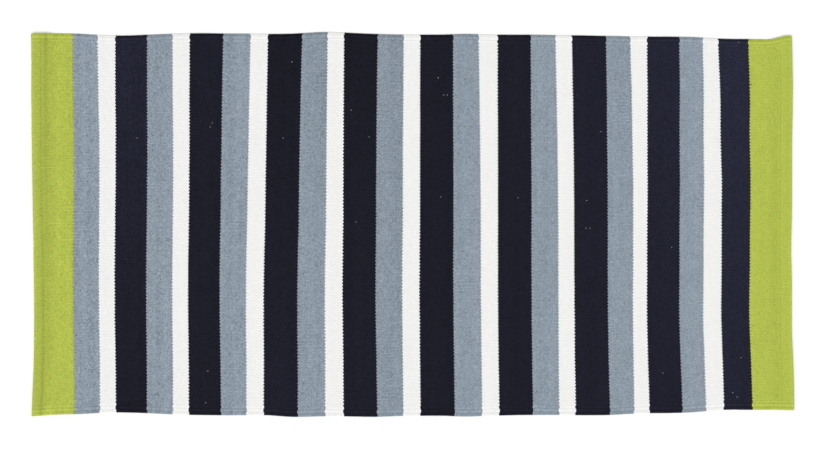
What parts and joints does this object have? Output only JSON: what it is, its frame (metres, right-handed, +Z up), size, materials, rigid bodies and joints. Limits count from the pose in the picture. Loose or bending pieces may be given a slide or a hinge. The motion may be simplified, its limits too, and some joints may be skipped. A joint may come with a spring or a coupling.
{
  "type": "striped rug",
  "caption": "Flat-woven cotton rug with cross stripes in green, grey, white and navy and a turned hem at each short end, lying flat.",
  "frame": {"origin": "on the floor, under the middle of the rug's box", "axes": "+X along the rug's length, +Y across it from the near selvedge to the far one, +Z up out of the face that shows"},
  "size_m": [1.2028, 0.6066, 0.0068],
  "materials": {
    "striped_cotton": "matt woven cotton in stripes of green, grey, white and navy. The colour given is their mean.",
    "sewing_thread": "green cotton thread of the hems",
    "cotton_lint": "pale lint caught in the weave"
  },
  "bodies": {
    "root": {"rug": "striped_cotton"}
  },
  "joints": []
}
